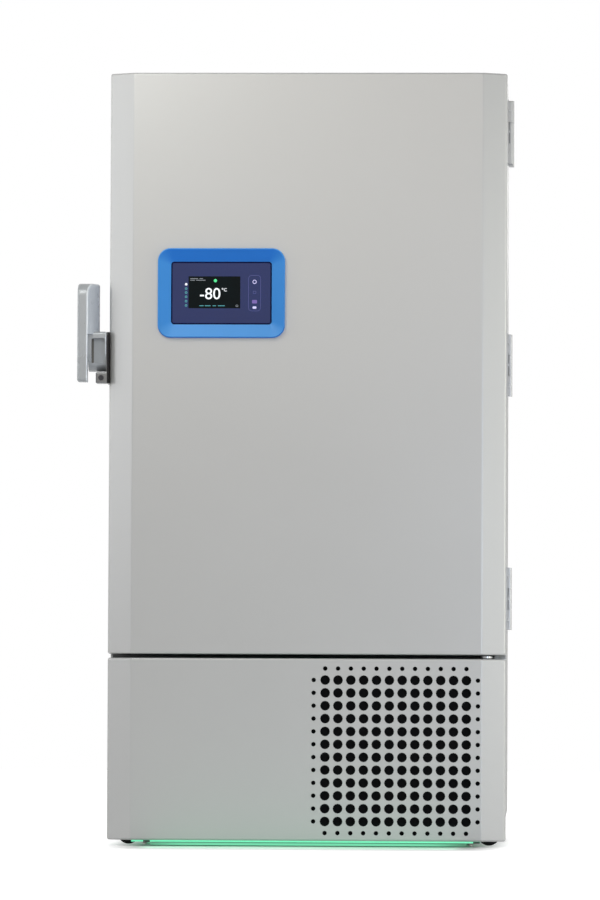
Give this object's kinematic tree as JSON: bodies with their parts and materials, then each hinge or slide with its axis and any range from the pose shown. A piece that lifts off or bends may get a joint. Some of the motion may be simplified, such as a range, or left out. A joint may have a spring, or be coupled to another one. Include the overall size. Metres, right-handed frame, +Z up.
{
  "type": "ultra low temperature freezer",
  "caption": "Upright laboratory freezer with a bevelled front, side latch handle, touch display, inner doors, shelves and a perforated lower grille panel on casters.",
  "frame": {"origin": "on the floor, below the middle of the freezer's outline in plan, handle and hinges included", "axes": "+Z up, front with the door and display towards -Y, +X to the right as seen from the front"},
  "size_m": [1.117, 0.962, 1.981],
  "materials": {
    "door_steel": "satin silver-grey enamel",
    "cabinet_steel": "satin silver-grey enamel",
    "galvanised": "galvanised sheet",
    "base_steel": "black powder coat",
    "foam": "rigid foam",
    "liner_plastic": "smooth white plastic",
    "breaker_plastic": "matt light grey plastic",
    "gasket": "soft black seal",
    "inner_gasket": "soft grey seal",
    "stainless": "brushed stainless steel",
    "inner_door_white": "white moulding",
    "catch_plastic": "grey moulding",
    "hinge_metal": "satin silver paint",
    "handle_metal": "satin silver",
    "latch_metal": "satin silver",
    "lock_metal": "dark turned steel",
    "bezel_blue": "satin blue",
    "display_glass": "polished dark blue",
    "display_screen": "dark screen",
    "light_diffuser": "frosted green light strip",
    "filter_mesh": "fine dark mesh",
    "compressor_black": "gloss black enamel",
    "copper": "bare copper",
    "fin_aluminium": "thin bright fins",
    "fan_plastic": "black moulding",
    "electrical_grey": "light grey box",
    "inlet_plastic": "black moulding",
    "caster_zinc": "zinc plate",
    "wheel_rubber": "dark tread",
    "bumper_rubber": "black rubber"
  },
  "bodies": {
    "cabinet": {"side_panel_left": "cabinet_steel", "side_panel_right": "cabinet_steel", "top_panel": "cabinet_steel", "back_panel": "galvanised", "rear_service_panel": "galvanised", "wall_insulation": "foam", "inner_liner": "stainless", "breaker_frame": "breaker_plastic", "access_port_plugs": "bumper_rubber", "inner_face_frame": "stainless", "inner_door_gaskets": "inner_gasket", "shelves": "stainless", "shelf_pilasters": "stainless", "inner_door_fittings": "stainless", "cabinet_hinge_leaves": "hinge_metal", "latch_strike": "lock_metal", "panel_hinge_brackets": "stainless", "base_frame": "base_steel", "caster_mounts": "caster_zinc", "compressors": "compressor_black", "condenser_coil": "fin_aluminium", "fan_shroud": "galvanised", "fan_motor": "fan_plastic", "interstage_heat_exchanger": "copper", "refrigerant_pipes": "copper", "electrical_box": "electrical_grey", "power_inlet": "inlet_plastic", "wall_bumpers": "bumper_rubber"},
    "outer_door": {"outer_door_skin": "door_steel", "outer_door_insulation": "foam", "outer_door_liner": "liner_plastic", "outer_door_gasket": "gasket", "display_bezel": "bezel_blue", "display_glass": "display_glass", "display_screen": "display_screen", "door_hinge_leaves": "hinge_metal", "latch_base": "latch_metal"},
    "handle": {"handle_lever": "handle_metal"},
    "lock": {"lock_cylinder": "lock_metal"},
    "fan": {"condenser_fan": "fan_plastic"},
    "lower_panel": {"front_panel": "door_steel", "air_filter": "filter_mesh", "light_strip": "light_diffuser"},
    "left_caster": {"front_caster_fork_left": "caster_zinc"},
    "right_caster": {"front_caster_fork_right": "caster_zinc"},
    "left_front_wheel": {"front_wheel_left": "wheel_rubber"},
    "right_front_wheel": {"front_wheel_right": "wheel_rubber"},
    "left_rear_wheel": {"rear_wheel_left": "wheel_rubber"},
    "right_rear_wheel": {"rear_wheel_right": "wheel_rubber"},
    "left_foot": {"levelling_foot_left": "caster_zinc"},
    "right_foot": {"levelling_foot_right": "caster_zinc"},
    "rocker": {"power_rocker": "catch_plastic"},
    "inner_door_1": {"inner_door_1": "inner_door_white"},
    "inner_latch_1": {"inner_latch_1": "catch_plastic"},
    "inner_door_2": {"inner_door_2": "inner_door_white"},
    "inner_latch_2": {"inner_latch_2": "catch_plastic"},
    "inner_door_3": {"inner_door_3": "inner_door_white"},
    "inner_latch_3": {"inner_latch_3": "catch_plastic"},
    "inner_door_4": {"inner_door_4": "inner_door_white"},
    "inner_latch_4": {"inner_latch_4": "catch_plastic"}
  },
  "joints": [
    {"name": "outer_door_hinge", "type": "hinge", "parent": "cabinet", "child": "outer_door", "pos_m": [0.5485, -0.345, 1.237], "axis": [0, 0, 1], "range_deg": [0, 115]},
    {"name": "handle_pull", "type": "hinge", "parent": "outer_door", "child": "handle", "pos_m": [-0.5085, -0.413, 1.245], "axis": [1, 0, 0], "range_deg": [0, 40], "stiffness_Nm_per_rad": 8, "springref_deg": -17.19},
    {"name": "lock_turn", "type": "hinge", "parent": "outer_door", "child": "lock", "pos_m": [-0.4985, -0.44, 1.197], "axis": [0, 1, 0], "range_deg": [0, 90]},
    {"name": "fan_spin", "type": "hinge", "parent": "cabinet", "child": "fan", "pos_m": [0.2605, -0.238, 0.242], "axis": [0, 1, 0], "continuous": true},
    {"name": "lower_panel_hinge", "type": "hinge", "parent": "cabinet", "child": "lower_panel", "pos_m": [0.4905, -0.407, 0.24], "axis": [0, 0, 1], "range_deg": [0, 90]},
    {"name": "left_caster_swivel", "type": "hinge", "parent": "cabinet", "child": "left_caster", "pos_m": [-0.4145, -0.264, 0.065], "axis": [0, 0, 1], "continuous": true},
    {"name": "right_caster_swivel", "type": "hinge", "parent": "cabinet", "child": "right_caster", "pos_m": [0.4775, -0.264, 0.065], "axis": [0, 0, 1], "continuous": true},
    {"name": "left_front_wheel_spin", "type": "hinge", "parent": "left_caster", "child": "left_front_wheel", "pos_m": [-0.4345, -0.264, 0.0285], "axis": [0, 1, 0], "continuous": true},
    {"name": "right_front_wheel_spin", "type": "hinge", "parent": "right_caster", "child": "right_front_wheel", "pos_m": [0.4975, -0.264, 0.0285], "axis": [0, 1, 0], "continuous": true},
    {"name": "left_rear_wheel_spin", "type": "hinge", "parent": "cabinet", "child": "left_rear_wheel", "pos_m": [-0.4145, 0.386, 0.0285], "axis": [1, 0, 0], "continuous": true},
    {"name": "right_rear_wheel_spin", "type": "hinge", "parent": "cabinet", "child": "right_rear_wheel", "pos_m": [0.4775, 0.386, 0.0285], "axis": [1, 0, 0], "continuous": true},
    {"name": "left_foot_screw", "type": "slide", "parent": "cabinet", "child": "left_foot", "axis": [0, 0, 1], "range_m": [0, 0.018]},
    {"name": "right_foot_screw", "type": "slide", "parent": "cabinet", "child": "right_foot", "axis": [0, 0, 1], "range_m": [0, 0.018]},
    {"name": "power_switch", "type": "hinge", "parent": "cabinet", "child": "rocker", "pos_m": [-0.3835, 0.469, 0.235], "axis": [1, 0, 0], "range_deg": [-16, 0]},
    {"name": "inner_door_1_hinge", "type": "hinge", "parent": "cabinet", "child": "inner_door_1", "pos_m": [0.3955, -0.301, 0.7135], "axis": [0, 0, 1], "range_deg": [0, 100]},
    {"name": "inner_latch_1_turn", "type": "hinge", "parent": "inner_door_1", "child": "inner_latch_1", "pos_m": [-0.3145, -0.309, 0.7135], "axis": [0, 1, 0], "range_deg": [0, 90]},
    {"name": "inner_door_2_hinge", "type": "hinge", "parent": "cabinet", "child": "inner_door_2", "pos_m": [0.3955, -0.301, 1.0385], "axis": [0, 0, 1], "range_deg": [0, 100]},
    {"name": "inner_latch_2_turn", "type": "hinge", "parent": "inner_door_2", "child": "inner_latch_2", "pos_m": [-0.3145, -0.309, 1.0385], "axis": [0, 1, 0], "range_deg": [0, 90]},
    {"name": "inner_door_3_hinge", "type": "hinge", "parent": "cabinet", "child": "inner_door_3", "pos_m": [0.3955, -0.301, 1.3635], "axis": [0, 0, 1], "range_deg": [0, 100]},
    {"name": "inner_latch_3_turn", "type": "hinge", "parent": "inner_door_3", "child": "inner_latch_3", "pos_m": [-0.3145, -0.309, 1.3635], "axis": [0, 1, 0], "range_deg": [0, 90]},
    {"name": "inner_door_4_hinge", "type": "hinge", "parent": "cabinet", "child": "inner_door_4", "pos_m": [0.3955, -0.301, 1.6885], "axis": [0, 0, 1], "range_deg": [0, 100]},
    {"name": "inner_latch_4_turn", "type": "hinge", "parent": "inner_door_4", "child": "inner_latch_4", "pos_m": [-0.3145, -0.309, 1.6885], "axis": [0, 1, 0], "range_deg": [0, 90]}
  ],
  "couplings": [
    {"joint": "inner_door_1_hinge", "follows": "outer_door_hinge", "ratio": 0.8695},
    {"joint": "inner_door_2_hinge", "follows": "outer_door_hinge", "ratio": 0.8695},
    {"joint": "inner_door_3_hinge", "follows": "outer_door_hinge", "ratio": 0.8695},
    {"joint": "inner_door_4_hinge", "follows": "outer_door_hinge", "ratio": 0.8695}
  ]
}
